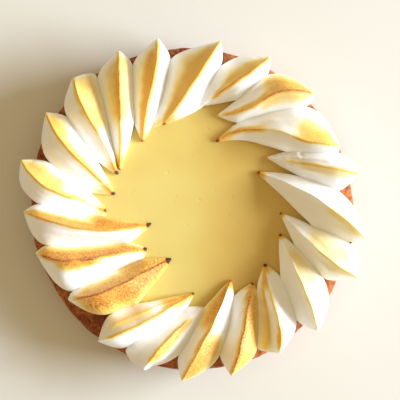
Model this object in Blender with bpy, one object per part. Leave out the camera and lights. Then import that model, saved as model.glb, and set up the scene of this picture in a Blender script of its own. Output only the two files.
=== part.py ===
"""Lemon tart: a shortcrust shell filled with lemon curd, under a pinwheel of piped meringue blades.

Units are metres, +Z is up, and the origin is the centre of the underside.
Angles are in degrees, counter-clockwise from +X, seen from above.
"""
import math

import bpy
import bmesh
import numpy as np

# Shell
CRUST_RADIUS = 0.100
CRUST_HEIGHT = 0.0198
WALL = 0.0088
THICK_SPOT = 0.0074
THICK_SPOT_ANGLE = -128.5
THICK_SPOT_SPREAD = 13.0
FLAT_SPOT = 0.0014
FLAT_SPOT_ANGLE = 101.0
FLAT_SPOT_SPREAD = 9.0
BASE = 0.0045
RIM_ROUNDING = 0.0018
FOOT_ROUNDING = 0.0008
OVAL = 0.0014
CRUST_SEGMENTS = 96

# Unevenness round the shell: size, number of waves, and where they start in radians
EDGE_DENTS = ((0.0005, 3.0, 0.9), (0.0003, 11.0, 2.0))
RIM_DIPS = ((0.0003, 5.0, 0.4), (0.00015, 13.0, 0.0))

# Filling
CURD_TOP = 0.0192
CURD_ROUNDING = 0.0005
CURD_MARGIN = 0.0055
GAP = 0.0003

# Meringue
FOOT_ON_RIM = CRUST_HEIGHT + 0.00035
FOOT_ON_CURD = CURD_TOP + 0.00035
RIM_STARTS = 0.0855
CURD_ENDS = 0.0800
FOOT_INSET = 0.0010
WIDEST_SHARE = 0.42
VALLEY_HALF_GAP = 0.00018
TAIL_BLUNTNESS = 0.85

# Shares of a blade's length: its cross-sections, and the range in which each valley's two ends may fall
STATIONS = (0.0, 0.03, 0.075, 0.13, 0.2, 0.28, 0.36, 0.45, 0.54, 0.63, 0.72, 0.81, 0.9, 0.965, 1.0)
NOSE_SHARES = (0.07, 0.4)
TAIL_SHARES = (0.5, 0.93)

# Shares of a flank's width, from the widest line up to the crest
FLANK_STEPS = (0.75, 0.45, 0.2)

# Height of the crest along a blade, as shares of its length and of its full height
CREST_SHARES = ((0.0, 0.60), (0.08, 0.84), (0.22, 1.0), (0.45, 0.87), (0.70, 0.50), (0.90, 0.20), (1.0, 0.10))

# The underside of the nose rises from the rim over this share of the length
KEEL_LENGTH = 0.11
KEEL_CURVE = 1.6

# One row for each blade, clockwise from the top of the ring:
# nose angle and radius, tail angle and radius, bow, sway, full height,
# fullness of the nose on the anticlockwise side and on the clockwise side
BLADES = (
    (101.0, 0.1050, 126.5, 0.0510, 0.0009, 0.0012, 0.0250, 1.8, 1.8),
    (80.0, 0.1030, 108.5, 0.0545, 0.0011, 0.0002, 0.0245, 1.5, 1.8),
    (62.5, 0.1035, 83.0, 0.0640, 0.0004, 0.0006, 0.0225, 2.6, 1.8),
    (43.0, 0.1020, 74.5, 0.0595, -0.0026, -0.0027, 0.0235, 2.4, 1.8),
    (23.0, 0.0980, 70.0, 0.0440, -0.0065, 0.0031, 0.0215, 2.5, 1.6),
    (11.5, 0.1040, 34.0, 0.0565, 0.0, -0.0002, 0.0225, 2.8, 1.6),
    (-10.0, 0.1080, 29.0, 0.0465, -0.0047, 0.0004, 0.0250, 2.2, 1.6),
    (-22.5, 0.1095, -3.0, 0.0550, 0.0028, 0.0007, 0.0240, 2.5, 2.0),
    (-44.0, 0.1070, -16.0, 0.0570, -0.0009, -0.0003, 0.0245, 3.0, 1.6),
    (-58.5, 0.1030, -37.0, 0.0570, -0.0014, -0.0011, 0.0220, 2.0, 1.8),
    (-76.5, 0.1045, -50.5, 0.0595, -0.0009, -0.0002, 0.0240, 1.8, 1.6),
    (-93.0, 0.1050, -61.0, 0.0505, -0.0011, 0.0006, 0.0245, 2.5, 1.8),
    (-106.5, 0.1020, -83.0, 0.0615, 0.0025, 0.0003, 0.0225, 1.6, 3.5),
    (-125.0, 0.0985, -88.0, 0.0525, -0.0016, 0.0, 0.0235, 2.2, 1.7),
    (-143.5, 0.0930, -111.5, 0.0335, -0.0029, -0.0007, 0.0240, 2.5, 1.6),
    (-164.0, 0.0980, -137.5, 0.0370, -0.0045, -0.0013, 0.0240, 2.4, 1.6),
    (-179.0, 0.1015, -158.5, 0.0265, -0.0062, 0.0005, 0.0245, 3.2, 1.6),
    (164.0, 0.1070, 182.0, 0.0525, -0.0050, -0.0013, 0.0240, 7.0, 1.6),
    (146.5, 0.1055, 170.0, 0.0480, -0.0028, -0.0007, 0.0240, 2.6, 1.7),
    (132.0, 0.1065, 155.5, 0.0500, -0.0003, -0.0010, 0.0250, 2.6, 4.0),
    (114.5, 0.1050, 152.0, 0.0500, 0.0012, -0.0001, 0.0255, 1.8, 1.8),
)

# One row for each valley, between the blade of the same row and the next one clockwise:
# outer end angle and radius, inner end angle and radius, bow
VALLEYS = (
    (98.0, 0.0915, 117.5, 0.0550, 0.0015),
    (78.5, 0.0885, 87.0, 0.0600, -0.0008),
    (60.5, 0.0930, 67.0, 0.0725, 0.0),
    (42.0, 0.0930, 61.5, 0.0600, -0.0010),
    (20.5, 0.0960, 31.0, 0.0675, 0.0),
    (7.0, 0.0900, 15.5, 0.0710, 0.0),
    (-12.5, 0.1000, -8.5, 0.0755, -0.0005),
    (-27.5, 0.0905, -20.0, 0.0685, 0.0),
    (-46.5, 0.0930, -37.5, 0.0695, -0.0005),
    (-65.0, 0.0945, -51.0, 0.0645, -0.0008),
    (-78.5, 0.0900, -64.0, 0.0605, -0.0010),
    (-94.5, 0.0895, -81.0, 0.0605, -0.0005),
    (-114.5, 0.0925, -92.0, 0.0610, 0.0),
    (-127.0, 0.0800, -119.5, 0.0680, 0.0),
    (-145.0, 0.0880, -133.5, 0.0435, 0.0005),
    (-165.5, 0.0905, -151.0, 0.0440, -0.0010),
    (178.5, 0.0925, 185.5, 0.0540, 0.0),
    (162.5, 0.0895, 171.0, 0.0635, 0.0),
    (144.0, 0.0925, 153.0, 0.0655, 0.0),
    (126.0, 0.0970, 142.0, 0.0615, 0.0005),
    (112.5, 0.0935, 123.5, 0.0640, 0.0),
)


def material(name, colour, roughness):
    made = bpy.data.materials.new(name)
    made.use_nodes = True
    shader = made.node_tree.nodes["Principled BSDF"]
    shader.inputs["Base Color"].default_value = (*colour, 1.0)
    shader.inputs["Roughness"].default_value = roughness
    shader.inputs["Metallic"].default_value = 0.0
    return made


def place(name, mesh, look, sharp_angle):
    made = bpy.data.objects.new(name, mesh)
    bpy.context.scene.collection.objects.link(made)
    mesh.materials.append(look)
    mesh.shade_smooth()
    mesh.set_sharp_from_angle(angle=math.radians(sharp_angle))
    return made


def closed_rings(name, rings, first_cap, last_cap):
    """One closed mesh through rings of points; a cap is "face" (a flat end) or "point" (a pointed one)."""
    build = bmesh.new()
    loops = []
    for index, ring in enumerate(rings):
        cap = first_cap if index == 0 else last_cap if index == len(rings) - 1 else "ring"
        if cap == "point":
            tip = build.verts.new(ring[0])
            loops.append([tip] * len(ring))
        else:
            loops.append([build.verts.new(point) for point in ring])
    for near, far in zip(loops, loops[1:]):
        for index in range(len(near)):
            after = (index + 1) % len(near)
            corners = (near[index], near[after], far[after], far[index])
            unique = list(dict.fromkeys(corners))
            build.faces.new(unique)
    if first_cap == "face":
        build.faces.new(loops[0])
    if last_cap == "face":
        build.faces.new(loops[-1])
    bmesh.ops.recalc_face_normals(build, faces=build.faces)
    bmesh.ops.triangulate(build, faces=build.faces)
    mesh = bpy.data.meshes.new(name)
    build.to_mesh(mesh)
    build.free()
    return mesh


def turned(angle, radius, height):
    return (radius * math.cos(angle), radius * math.sin(angle), height)


def nearness(angle, middle, spread):
    """1 at the middle angle, falling softly to 0 away from it."""
    apart = (math.degrees(angle) - middle + 180.0) % 360.0 - 180.0
    return math.exp(-(apart / spread) ** 2)


def crust_edge(angle):
    """Extra radius of the hand-lined shell: slightly oval, with small dents and one flat spot."""
    dents = sum(size * math.sin(waves * angle + start) for size, waves, start in EDGE_DENTS)
    flat = FLAT_SPOT * nearness(angle, FLAT_SPOT_ANGLE, FLAT_SPOT_SPREAD)
    return dents - OVAL * math.sin(2.0 * angle) - flat


def rim_drop(angle):
    """The rim was cut by hand, so it dips a little here and there."""
    return sum(size * (1.0 + math.sin(waves * angle + start)) for size, waves, start in RIM_DIPS)


def wall_swell(angle):
    """Extra thickness on the inner side of the wall, where the dough was pressed in unevenly."""
    return THICK_SPOT * nearness(angle, THICK_SPOT_ANGLE, THICK_SPOT_SPREAD)


def rounded_corner(middle_radius, middle_height, size, start, end, steps):
    """Points of a quarter round in the plane of the profile, as (radius, height)."""
    points = []
    for step in range(steps + 1):
        turn = math.radians(start + (end - start) * step / steps)
        points.append((middle_radius + size * math.cos(turn), middle_height + size * math.sin(turn)))
    return points


def crust_profile():
    """Outline of the wall from the foot, over the rim and down to the inner floor."""
    inner = CRUST_RADIUS - WALL
    foot = rounded_corner(CRUST_RADIUS - FOOT_ROUNDING, FOOT_ROUNDING, FOOT_ROUNDING, -90.0, 0.0, 2)
    wall = [(CRUST_RADIUS, CRUST_HEIGHT * 0.45)]
    top = CRUST_HEIGHT - RIM_ROUNDING
    outer_lip = rounded_corner(CRUST_RADIUS - RIM_ROUNDING, top, RIM_ROUNDING, 0.0, 90.0, 3)
    inner_lip = rounded_corner(inner + RIM_ROUNDING, top, RIM_ROUNDING, 90.0, 180.0, 2)
    floor = [(inner, BASE)]
    return foot + wall + outer_lip + inner_lip + floor


def make_crust(look):
    rings = []
    for radius, height in crust_profile():
        lift = min(1.0, height / CRUST_HEIGHT)
        ring = []
        for segment in range(CRUST_SEGMENTS):
            angle = math.tau * segment / CRUST_SEGMENTS
            swell = wall_swell(angle) if radius < CRUST_RADIUS - WALL * 0.5 and height > BASE * 0.5 else 0.0
            edge = radius + crust_edge(angle) - swell
            ring.append(turned(angle, edge, height - rim_drop(angle) * lift ** 3))
        rings.append(ring)
    return place("crust", closed_rings("crust", rings, "face", "face"), look, 50.0)


def make_curd(look):
    """The filling touches neither wall nor floor: a hair's gap stays between the solids."""
    outer = CRUST_RADIUS - WALL - GAP
    floor = (outer, BASE + GAP, 0.0)
    side = (outer, CURD_TOP - CURD_ROUNDING, 1.0)
    edge = (outer - CURD_ROUNDING, CURD_TOP, 1.0)
    level = (outer - CURD_MARGIN, CURD_TOP, 0.3)
    rings = []
    for radius, height, settle in (floor, side, edge, level):
        ring = []
        for segment in range(CRUST_SEGMENTS):
            angle = math.tau * segment / CRUST_SEGMENTS
            reach = radius + crust_edge(angle) - wall_swell(angle)
            ring.append(turned(angle, reach, height - rim_drop(angle) * settle))
        rings.append(ring)
    return place("curd", closed_rings("curd", rings, "face", "face"), look, 50.0)


def polar(angle, radius):
    turn = math.radians(angle)
    return np.array((radius * math.cos(turn), radius * math.sin(turn)))


def smooth_between(shares, t):
    """Reads a value between the named shares with a monotone cubic."""
    x = np.array([share[0] for share in shares])
    y = np.array([share[1] for share in shares])
    slopes = np.gradient(y, x)
    index = int(np.clip(np.searchsorted(x, t) - 1, 0, len(x) - 2))
    span = x[index + 1] - x[index]
    s = (t - x[index]) / span
    a = (1.0 + 2.0 * s) * (1.0 - s) ** 2 * y[index] + s * (1.0 - s) ** 2 * span * slopes[index]
    b = s * s * (3.0 - 2.0 * s) * y[index + 1] + s * s * (s - 1.0) * span * slopes[index + 1]
    return float(a + b)


class Blade:
    """A piped blade: a crest from nose to tail, and an outline on each side that its neighbour shares."""

    def __init__(self, row, left_valley, right_valley):
        nose_angle, nose_radius, tail_angle, tail_radius, self.bow, self.sway, self.height = row[:7]
        self.fullness = {-1: row[7], 1: row[8]}
        self.nose = polar(nose_angle, nose_radius)
        self.tail = polar(tail_angle, tail_radius)
        chord = self.tail - self.nose
        self.length = float(np.hypot(*chord))
        self.along = chord / self.length
        self.across = np.array((-self.along[1], self.along[0]))
        self.valleys = {1: right_valley, -1: left_valley}

    def local(self, point):
        offset = point - self.nose
        return float(offset @ self.along), float(offset @ self.across)

    def crest_offset(self, t):
        return self.bow * math.sin(math.pi * t) + self.sway * math.sin(math.tau * t)

    def crest(self, t):
        plan = self.nose + self.along * self.length * t + self.across * self.crest_offset(t)
        height = FOOT_ON_RIM + self.height * smooth_between(CREST_SHARES, t)
        return plan, height

    def keel(self, t):
        """Rise of the underside towards the tip, where the nose stands out over the rim."""
        if t >= KEEL_LENGTH:
            return 0.0
        return self.height * CREST_SHARES[0][1] * (1.0 - t / KEEL_LENGTH) ** KEEL_CURVE

    def outline(self, side, t):
        """Plan point of the widest line; side is +1 for clockwise of the crest and -1 for the other."""
        outer_angle, outer_radius, inner_angle, inner_radius, bow = self.valleys[side]
        outer = polar(outer_angle, outer_radius)
        inner = polar(inner_angle, inner_radius)
        step = inner - outer
        sideways = np.array((-step[1], step[0])) / float(np.hypot(*step))
        outer_along, outer_across = self.local(outer)
        inner_along, inner_across = self.local(inner)
        outer_share = float(np.clip(outer_along / self.length, *NOSE_SHARES))
        inner_share = float(np.clip(inner_along / self.length, *TAIL_SHARES))
        if t < outer_share:
            part = t / outer_share
            start = self.crest_offset(outer_share)
            along = outer_along * part
            width = 1.0 - (1.0 - part) ** self.fullness[side]
            across = self.crest_offset(t) + (outer_across - start) * width
            point = self.nose + self.along * along + self.across * across
        elif t > inner_share:
            part = (1.0 - t) / (1.0 - inner_share)
            start = self.crest_offset(inner_share)
            along = self.length + (inner_along - self.length) * part
            across = self.crest_offset(t) + (inner_across - start) * part ** TAIL_BLUNTNESS
            point = self.nose + self.along * along + self.across * across
        else:
            part = (t - outer_share) / (inner_share - outer_share)
            point = outer + step * part + sideways * bow * math.sin(math.pi * part)
        inward = self.crest(t)[0] - point
        distance = float(np.hypot(*inward))
        return point + inward / max(distance, 1e-9) * min(VALLEY_HALF_GAP, distance)


def flank_share(s):
    """Height share from 1 at the crest to 0 at the widest line: hollow by the crest, full lower down."""
    return 1.0 - 1.30 * s + 1.10 * s * s - 0.80 * s ** 3


def resting_height(point):
    """Height of the foot, which steps down from the rim to the filling."""
    part = float(np.clip((np.hypot(*point) - CURD_ENDS) / (RIM_STARTS - CURD_ENDS), 0.0, 1.0))
    return FOOT_ON_CURD + (FOOT_ON_RIM - FOOT_ON_CURD) * part


def blade_section(blade, t):
    """Ring of points round a blade at the share t of its length."""
    crest, top = blade.crest(t)
    keel = blade.keel(t)
    ring = []
    for side, steps in ((-1, FLANK_STEPS), (1, tuple(reversed(FLANK_STEPS)))):
        edge = blade.outline(side, t)
        inward = crest - edge
        distance = max(float(np.hypot(*inward)), 1e-9)
        heel = edge + inward / distance * min(FOOT_INSET, distance * 0.3)
        foot = resting_height(heel) + keel
        widest = foot + WIDEST_SHARE * (top - foot)
        low = [(*heel, foot), (*edge, widest)]
        high = []
        for s in steps:
            plan = crest + (edge - crest) * s
            high.append((*plan, widest + (top - widest) * flank_share(s)))
        if side == -1:
            ring += low + high + [(*crest, top)]
        else:
            ring += high + list(reversed(low))
    return ring


def make_blade(number, look):
    right_valley = VALLEYS[number]
    left_valley = VALLEYS[number - 1]
    blade = Blade(BLADES[number], left_valley, right_valley)
    rings = [blade_section(blade, t) for t in STATIONS]
    tail_plan, tail_top = blade.crest(1.0)
    tip = (*tail_plan, (FOOT_ON_CURD + tail_top) / 2.0)
    rings[-1] = [tip] * len(rings[-1])
    name = f"meringue_{number + 1:02d}"
    return place(name, closed_rings(name, rings, "point", "point"), look, 40.0)


def main():
    for old in list(bpy.data.objects):
        bpy.data.objects.remove(old, do_unlink=True)
    make_crust(material("shortcrust", (0.45, 0.17, 0.06), 0.75))
    make_curd(material("lemon_curd", (0.86, 0.66, 0.20), 0.25))
    for number in range(len(BLADES)):
        make_blade(number, material(f"meringue_{number + 1:02d}", (0.90, 0.84, 0.72), 0.55))


main()
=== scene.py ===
# %% [markdown]
# # A lemon tart under a pinwheel of toasted meringue
# The real thing is a shortcrust shell filled with lemon curd. Twenty-one blades of meringue are piped over
# its edge, all leaning the same way, and a gas torch has browned their crests. The frame's solids give each
# piece its place and size. This lesson models the same pieces finely and then bakes, fills and toasts them.

# %% Load the frame
import math

import bmesh
import bpy
import numpy as np
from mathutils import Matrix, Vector, noise


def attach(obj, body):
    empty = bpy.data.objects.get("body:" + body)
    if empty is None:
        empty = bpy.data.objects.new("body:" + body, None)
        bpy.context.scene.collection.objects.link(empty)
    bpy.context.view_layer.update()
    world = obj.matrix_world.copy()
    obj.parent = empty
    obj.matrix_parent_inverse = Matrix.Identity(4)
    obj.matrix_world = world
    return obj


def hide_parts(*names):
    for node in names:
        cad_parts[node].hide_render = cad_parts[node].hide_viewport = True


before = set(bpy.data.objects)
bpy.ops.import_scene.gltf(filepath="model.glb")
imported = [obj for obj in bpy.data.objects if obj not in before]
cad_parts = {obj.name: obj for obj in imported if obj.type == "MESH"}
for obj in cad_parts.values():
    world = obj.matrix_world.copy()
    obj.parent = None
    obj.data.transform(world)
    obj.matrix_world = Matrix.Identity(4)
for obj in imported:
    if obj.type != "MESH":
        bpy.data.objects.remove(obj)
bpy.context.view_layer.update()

# %% [markdown]
# ## Writing materials as sums
# A baked surface is never one colour: it is pale dough plus scorch, times freckles. Such sums could be wired
# by hand in the Shader Editor. In a script it is easier to read if a socket can be added and multiplied like
# a number, so this small class turns each sum into Math nodes. Every other node comes from its one method.

# %% A socket that can be written in sums
class Value:
    """A socket in a material. Sums with it add Math nodes, and node() adds a node of any other kind."""

    def __init__(self, tree, socket=None):
        self.tree = tree
        self.socket = socket

    def node(self, kind, settings=None, sockets=None, out=0):
        """Adds a node: its settings first, then values or links for its sockets, and gives one output."""
        made = self.tree.nodes.new(kind)
        for name, setting in (settings or {}).items():
            if name == "stops":
                for index, (place, colour) in enumerate(setting):
                    ramp = made.color_ramp.elements
                    stop = ramp[index] if index < 2 else ramp.new(place)
                    stop.position = place
                    stop.color = colour
            else:
                setattr(made, name, setting)
        for name, value in (sockets or {}).items():
            if isinstance(value, Value):
                self.tree.links.new(value.socket, made.inputs[name])
            else:
                made.inputs[name].default_value = value
        return Value(self.tree, made.outputs[out])

    def sum(self, operation, first, second):
        return self.node("ShaderNodeMath", {"operation": operation}, {0: first, 1: second})

    def __add__(self, other):
        return self.sum("ADD", self, other)

    def __radd__(self, other):
        return self.sum("ADD", other, self)

    def __sub__(self, other):
        return self.sum("SUBTRACT", self, other)

    def __rsub__(self, other):
        return self.sum("SUBTRACT", other, self)

    def __mul__(self, other):
        return self.sum("MULTIPLY", self, other)

    def over(self, low, high):
        """0 below low and 1 above high, with a smooth step between them."""
        settings = {"interpolation_type": "SMOOTHSTEP"}
        return self.node("ShaderNodeMapRange", settings, {"Value": self, "From Min": low, "From Max": high})


# %% Colours, patterns and the link to the shader
def paint(red, green, blue):
    """A colour as a photo editor writes it, 0 to 255, turned into the linear light that Blender mixes."""
    shares = [level / 255.0 for level in (red, green, blue)]
    return tuple(s / 12.92 if s < 0.04045 else ((s + 0.055) / 1.055) ** 2.4 for s in shares) + (1.0,)


def new_finish(name, **constants):
    """A new material, its shader and a first Value; what is the same all over goes on the shader itself."""
    made = bpy.data.materials.new(name)
    made.use_nodes = True
    shader = made.node_tree.nodes["Principled BSDF"]
    for socket, level in constants.items():
        shader.inputs[socket.replace("_", " ")].default_value = level
    return made, shader, Value(made.node_tree)


def send(value, shader, socket):
    """Links a value to a socket of the shader."""
    value.tree.links.new(value.socket, shader.inputs[socket])


def clouds(place, size, detail=2.0):
    """Soft spots of about the given size in metres, as a value round 0.5."""
    return place.node("ShaderNodeTexNoise", None, {"Vector": place, "Scale": 1.0 / size, "Detail": detail})


def blended(factor, first, second):
    """The first colour where the factor is 0 and the second where it is 1."""
    return factor.node("ShaderNodeMix", {"data_type": "RGBA"}, {0: factor, 6: first, 7: second}, out=2)


def raised(height, shader):
    """Feeds a height in metres to the shader as a bump."""
    bump = height.node("ShaderNodeBump", None, {"Height": height, "Distance": 1.0, "Strength": 1.0})
    send(bump, shader, "Normal")


print("a socket takes sums, and colours are mixed in linear light")

# %% [markdown]
# ## The shell
# A baker lines a 20 cm ring with shortcrust, trims it level by hand and bakes it dark. Its section is an L
# that goes once round, so the quickest way to it is to draw the section and spin it. The spin is too perfect
# for dough, so afterwards each vertex is moved a little: an oval, a few dents, a rim cut by hand, and crumbs.

# %% Sizes of the shell
CRUST_RADIUS = 0.100
CRUST_HEIGHT = 0.0198
WALL = 0.0088
THICK_SPOT = 0.0074
THICK_SPOT_ANGLE = -128.5
THICK_SPOT_SPREAD = 13.0
FLAT_SPOT = 0.0014
FLAT_SPOT_ANGLE = 101.0
FLAT_SPOT_SPREAD = 9.0
BASE = 0.0045
RIM_ROUNDING = 0.0018
FOOT_ROUNDING = 0.0008
OVAL = 0.0014
EDGE_DENTS = ((0.0005, 3.0, 0.9), (0.0003, 11.0, 2.0))
RIM_DIPS = ((0.0003, 5.0, 0.4), (0.00015, 13.0, 0.0))
ROUND_STEPS = 300
DOUGH_STEP = 0.0011
# what lies nearer to the axis than this stays on it
AXIS_ZONE = 0.001


def held(value, low, high):
    return max(low, min(high, value))


def nearness(angle, middle, spread):
    """1 at the middle angle, falling softly to 0 away from it."""
    apart = (math.degrees(angle) - middle + 180.0) % 360.0 - 180.0
    return math.exp(-(apart / spread) ** 2)


def crust_edge(angle):
    """How far the shell stands out at an angle: its dents, its oval and its flat spot."""
    dents = sum(size * math.sin(waves * angle + start) for size, waves, start in EDGE_DENTS)
    flat = FLAT_SPOT * nearness(angle, FLAT_SPOT_ANGLE, FLAT_SPOT_SPREAD)
    return dents - OVAL * math.sin(2.0 * angle) - flat


def rim_drop(angle):
    """How far the hand-cut rim dips at an angle."""
    return sum(size * (1.0 + math.sin(waves * angle + start)) for size, waves, start in RIM_DIPS)


def wall_swell(angle):
    """How much thicker than usual the wall is at an angle."""
    return THICK_SPOT * nearness(angle, THICK_SPOT_ANGLE, THICK_SPOT_SPREAD)


print("shell", CRUST_RADIUS * 2000, "mm across and", CRUST_HEIGHT * 1000, "mm high")


# %% Spinning a section
MERGE_WITHIN = 0.00001


def section_corner(radius, height, size, start, end, steps=5):
    """A quarter round in the section, as (radius, height)."""
    turns = [math.radians(start + (end - start) * step / steps) for step in range(steps + 1)]
    return [(radius + size * math.cos(turn), height + size * math.sin(turn)) for turn in turns]


def spun(section, step, rounds):
    """Draws the section, divides its edges away from the axis, spins it once round and closes it."""
    build = bmesh.new()
    corners = [build.verts.new((radius, 0.0, height)) for radius, height in section]
    edges = [build.edges.new(pair) for pair in zip(corners, corners[1:])]
    cuts = {}
    for edge in edges:
        if all(vert.co.x > AXIS_ZONE for vert in edge.verts):
            cuts.setdefault(int(edge.calc_length() / step), []).append(edge)
    for count, alike in cuts.items():
        if count:
            bmesh.ops.subdivide_edges(build, edges=alike, cuts=count)
    drawn = list(build.verts) + list(build.edges)
    bmesh.ops.spin(
        build, geom=drawn, cent=(0, 0, 0), axis=(0, 0, 1), angle=math.tau, steps=rounds, use_merge=True
    )
    bmesh.ops.remove_doubles(build, verts=build.verts, dist=MERGE_WITHIN)
    bmesh.ops.recalc_face_normals(build, faces=build.faces)
    return build


def finished(name, build, look, slot, *nodes):
    """Turns a bmesh into a piece that rides on the tart and stands for the named solids."""
    mesh = bpy.data.meshes.new(name)
    build.to_mesh(mesh)
    build.free()
    mesh.materials.append(look)
    mesh.shade_smooth()
    piece = bpy.data.objects.new(name, mesh)
    bpy.context.scene.collection.objects.link(piece)
    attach(piece, "root")
    if nodes:
        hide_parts(*nodes)
    return piece


print("a section can be spun")

# %% [markdown]
# ## Baked shortcrust
# Shortcrust bakes to a red-brown that is darkest on the rim, where the oven reaches it first, with paler
# flour grains and small pits. Three sizes of noise do this: broad oven marks, crumbs of about a millimetre
# and fine grains. They read the piece's own coordinates, so nothing slides when the tart is turned.

# %% The shortcrust finish
shortcrust, shader, start = new_finish("shortcrust", Roughness=0.8)
place = start.node("ShaderNodeTexCoord", out="Object")
height_on_wall = start.node("ShaderNodeSeparateXYZ", None, {0: place}, out="Z")
oven_marks = clouds(place, 0.016)
crumbs = clouds(place, 0.0022, 3.0)
grains = clouds(place, 0.0007)
rim_scorch = height_on_wall.over(0.0125, 0.0195)
dark_spots = crumbs.over(0.50, 0.66)
pale_spots = crumbs.over(0.46, 0.36)
flour = grains.over(0.56, 0.74)
dough = blended(oven_marks.over(0.35, 0.65), paint(190, 114, 54), paint(160, 86, 38))
scorched = blended(oven_marks.over(0.42, 0.60), paint(180, 96, 42), paint(138, 63, 28))
dough = blended(rim_scorch * 0.7, dough, scorched)
dough = blended(dark_spots * 0.6, dough, paint(92, 42, 20))
dough = blended(pale_spots * 0.45, dough, paint(206, 134, 70))
dough = blended(flour * 0.40, dough, paint(214, 156, 92))
send(dough, shader, "Base Color")
raised(crumbs * 0.0012 + grains * 0.00045, shader)
print("shortcrust:", len(shortcrust.node_tree.nodes), "nodes")

# %% Spin the shell and give it a hand-made edge
# lumps and crumbs of the dough: how many come to a metre, and how high they stand
LUMPS_TO_A_METRE = 190.0
LUMP_HEIGHT = 0.00035
CRUMBS_TO_A_METRE = 620.0
CRUMB_HEIGHT = 0.00022
# the foot, and the floor under the curd, stay smooth
SMOOTH_BELOW = 0.0008
SMOOTH_WITHIN = 0.001

inner = CRUST_RADIUS - WALL
top = CRUST_HEIGHT - RIM_ROUNDING
shell_section = (
    [(0.0, 0.0)]
    + section_corner(CRUST_RADIUS - FOOT_ROUNDING, FOOT_ROUNDING, FOOT_ROUNDING, -90.0, 0.0)
    + section_corner(CRUST_RADIUS - RIM_ROUNDING, top, RIM_ROUNDING, 0.0, 90.0)
    + section_corner(inner + RIM_ROUNDING, top, RIM_ROUNDING, 90.0, 180.0)
    + [(inner, BASE), (0.0, BASE)]
)
shell = spun(shell_section, DOUGH_STEP, ROUND_STEPS)
for vert in shell.verts:
    radius = math.hypot(vert.co.x, vert.co.y)
    angle = math.atan2(vert.co.y, vert.co.x)
    if radius < AXIS_ZONE:
        continue
    lift = min(1.0, vert.co.z / CRUST_HEIGHT)
    inside = held((CRUST_RADIUS - RIM_ROUNDING - radius) / (WALL - 2.0 * RIM_ROUNDING), 0.0, 1.0)
    swell = wall_swell(angle) * inside if vert.co.z > BASE * 0.5 else 0.0
    lump = noise.noise(vert.co * LUMPS_TO_A_METRE) * LUMP_HEIGHT
    crumb = noise.noise(vert.co * CRUMBS_TO_A_METRE) * CRUMB_HEIGHT
    rough = lump + crumb if vert.co.z > SMOOTH_BELOW and radius > inner - SMOOTH_WITHIN else 0.0
    edge = radius + crust_edge(angle) * radius / CRUST_RADIUS - swell + rough
    drop = rim_drop(angle) * lift ** 3 - rough * lift ** 6
    vert.co = Vector((edge * math.cos(angle), edge * math.sin(angle), vert.co.z - drop))
crust = finished("crust_shell", shell, shortcrust, "crust", "crust")
print("shell:", len(crust.data.polygons), "faces")

# %% [markdown]
# ## Lemon curd
# Curd is poured in warm and sets with a smooth satin skin. It creeps up a little where it meets the wall and
# carries a few specks of zest and tiny bubbles. It is spun like the shell. A gentle noise, far lower than the
# eye notices, keeps the highlight from looking like glass.

# %% The curd finish
lemon_curd, shader, start = new_finish(
    "lemon_curd", Roughness=0.36, Subsurface_Weight=0.35, Subsurface_Scale=0.006
)
shader.inputs["Subsurface Radius"].default_value = (1.0, 0.7, 0.25)
place = start.node("ShaderNodeTexCoord", out="Object")
swirl = clouds(place, 0.045, 1.0)
specks = clouds(place, 0.0016, 0.0)
bubbles = clouds(place, 0.0030, 0.0)
curd_colour = blended(swirl.over(0.35, 0.65), paint(228, 208, 124), paint(224, 200, 112))
# painted shade: the curd turns a deeper gold towards the right, standing in for the shadow of the blades on
# that side
painted_shade_right = start.node("ShaderNodeSeparateXYZ", None, {0: place}, out="X").over(-0.004, 0.030)
curd_colour = blended(painted_shade_right * 0.6, curd_colour, paint(216, 176, 88))
curd_colour = blended(specks.over(0.80, 0.88) * 0.35, curd_colour, paint(190, 150, 70))
send(curd_colour, shader, "Base Color")
raised(swirl * 0.0006 - bubbles.over(0.78, 0.86) * 0.00012, shader)
print("curd:", len(lemon_curd.node_tree.nodes), "nodes")

# %% Spin the curd
CURD_TOP = 0.0192
CURD_STEP = 0.0020
CURD_ROUND_STEPS = 180
# at the wall the curd reaches a hair into the dough and creeps up in a hollow curve
CURD_INTO_WALL = 0.0003
CURD_UP_WALL = 0.0002
CREEP_ROUNDING = 0.0012
# the skin: what lies above this height, how high its waves are and how many come to a metre
SKIN_ABOVE = 0.01
SKIN_WAVE = 0.00012
SKIN_WAVES_TO_A_METRE = 55.0

outer = CRUST_RADIUS - WALL
curd_section = (
    [(0.0, BASE), (outer, BASE), (outer + CURD_INTO_WALL, CURD_TOP + CURD_UP_WALL)]
    + section_corner(outer - CREEP_ROUNDING, CURD_TOP + CREEP_ROUNDING, CREEP_ROUNDING, -35.0, -90.0)
    + [(0.0, CURD_TOP)]
)
filling = spun(curd_section, CURD_STEP, CURD_ROUND_STEPS)
for vert in filling.verts:
    radius = math.hypot(vert.co.x, vert.co.y)
    angle = math.atan2(vert.co.y, vert.co.x)
    if radius < AXIS_ZONE:
        continue
    skin = vert.co.z > SKIN_ABOVE
    edge = radius + (crust_edge(angle) - wall_swell(angle)) * (radius / outer) ** 3
    drop = rim_drop(angle) * (radius / outer) ** 6 if skin else 0.0
    wave = SKIN_WAVE * noise.noise(vert.co * SKIN_WAVES_TO_A_METRE) if skin else 0.0
    vert.co = Vector((edge * math.cos(angle), edge * math.sin(angle), vert.co.z - drop + wave))
curd = finished("lemon_filling", filling, lemon_curd, "curd", "curd")
print("curd:", len(curd.data.polygons), "faces")

# %% [markdown]
# ## The shape of a blade
# Each blade is one squeeze of a slit nozzle: it starts as a nose that stands out over the rim, leans over as
# the hand turns inwards, and is drawn off into a thin tail on the curd. Seen from above it has a sharp crest
# and two flanks, and neighbours meet in a valley. So a blade is fully told by its crest line, the valleys on
# either side and the height of the crest. The rows below are those of the solids.

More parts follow.
